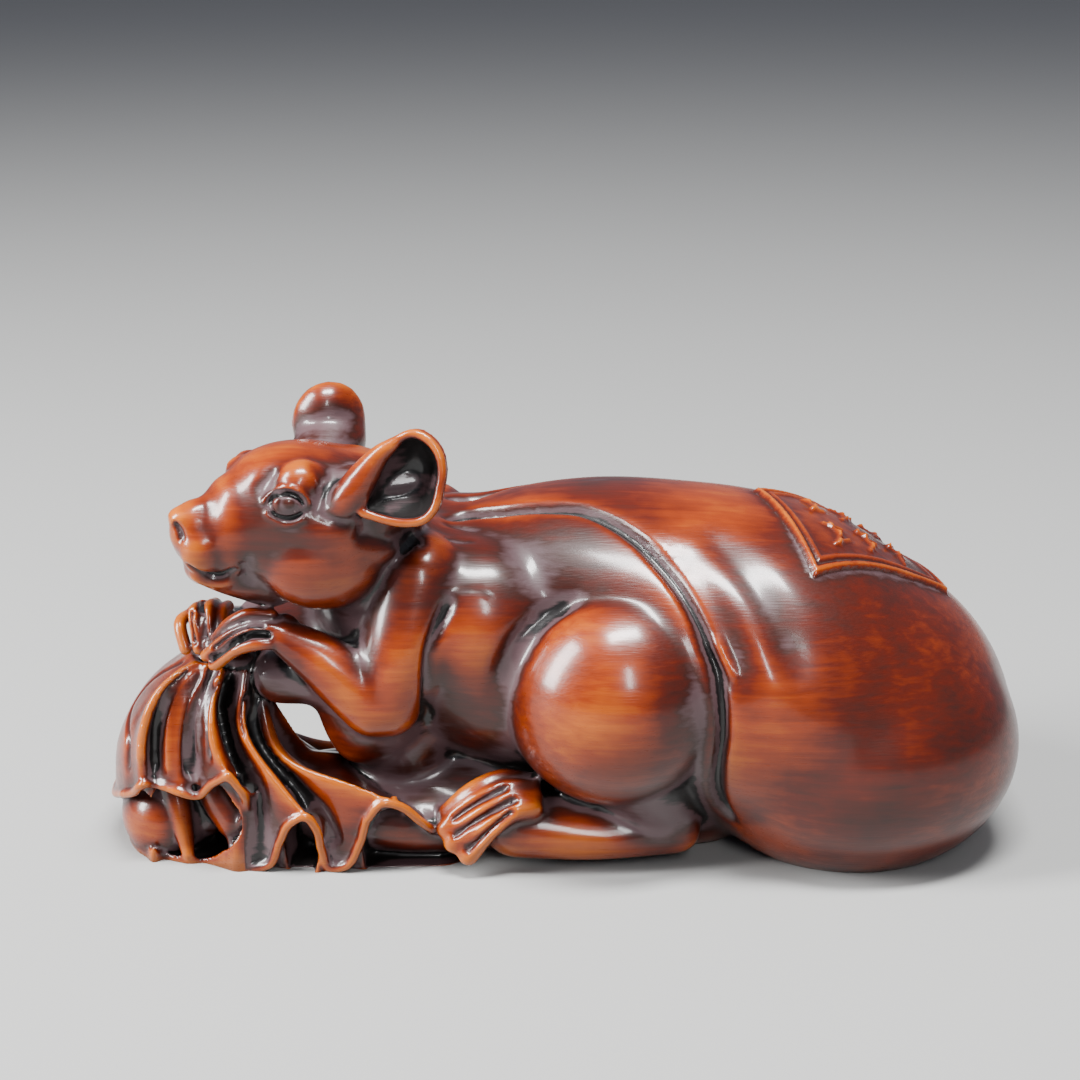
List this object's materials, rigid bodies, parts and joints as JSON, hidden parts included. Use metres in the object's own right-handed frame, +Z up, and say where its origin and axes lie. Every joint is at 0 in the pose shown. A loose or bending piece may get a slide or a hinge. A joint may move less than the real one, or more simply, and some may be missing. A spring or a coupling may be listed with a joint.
{
  "type": "carved wooden rat figurine",
  "caption": "Carved boxwood ornament of a lying rat that grips the ruffled mouth of a full money bag slung over its back, one solid piece.",
  "frame": {"origin": "on the flat underside, below the middle of the figure", "axes": "+Z up, +X from the rat's head towards the full end of the bag, -Y towards the side that the head is turned to"},
  "size_m": [0.0998, 0.047, 0.0502],
  "materials": {
    "boxwood": "stained orange to dark red-brown, polished with wax, darker in the recesses"
  },
  "bodies": {
    "root": {"carved_rat": "boxwood"}
  },
  "joints": []
}
